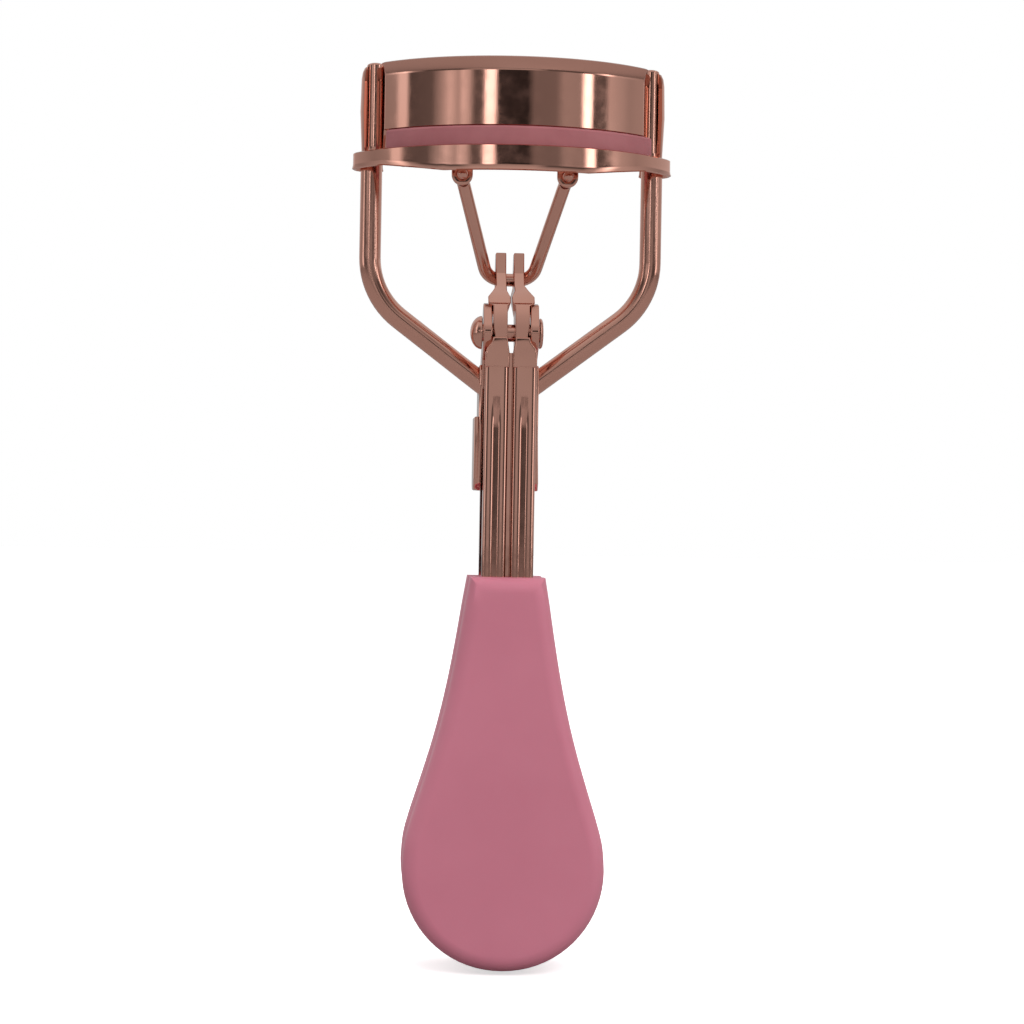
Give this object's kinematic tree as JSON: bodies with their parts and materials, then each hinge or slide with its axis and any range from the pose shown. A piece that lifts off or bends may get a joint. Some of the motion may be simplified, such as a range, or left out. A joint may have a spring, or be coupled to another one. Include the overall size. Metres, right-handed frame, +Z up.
{
  "type": "eyelash curler",
  "caption": "Hand-held eyelash curler: bent-wire frame, fixed curved upper band, sliding lower jaw with a silicone pad, V-shaped link and a lever with teardrop handles.",
  "frame": {"origin": "on the floor under the middle of the part's box, with the tool standing on the lower ends of its handles", "axes": "+Z up the tool from the handles to the curling head, -Y towards the front handle, +X to the right of someone facing the front"},
  "size_m": [0.0372, 0.0174, 0.1039],
  "materials": {
    "plated_metal": "polished rose-gold plating",
    "handle_plastic": "satin moulded plastic",
    "pad_silicone": "soft satin silicone"
  },
  "bodies": {
    "frame": {"frame_wire_left": "plated_metal", "frame_wire_right": "plated_metal", "upper_band": "plated_metal", "pivot_bracket": "plated_metal", "pivot_rivet": "plated_metal", "rear_shank": "plated_metal", "rear_handle": "handle_plastic"},
    "lever": {"front_lever": "plated_metal", "front_handle": "handle_plastic"},
    "jaw": {"lower_jaw": "plated_metal", "silicone_pad": "pad_silicone"},
    "link": {"link_wire": "plated_metal"}
  },
  "joints": [
    {"name": "lever_pivot", "type": "hinge", "parent": "frame", "child": "lever", "pos_m": [0, -0.00046, 0.0727], "axis": [-1, 0, 0], "range_deg": [0, 34]},
    {"name": "jaw_slide", "type": "slide", "parent": "frame", "child": "jaw", "axis": [0, 0, -1], "range_m": [0, 0.0067]},
    {"name": "link_swing", "type": "hinge", "parent": "jaw", "child": "link", "pos_m": [0, -0.00426, 0.0903], "axis": [1, 0, 0], "range_deg": [0, 17.5]}
  ],
  "couplings": [
    {"joint": "jaw_slide", "follows": "lever_pivot", "m_per_rad": 0.01115},
    {"joint": "link_swing", "follows": "lever_pivot", "ratio": 0.508}
  ]
}
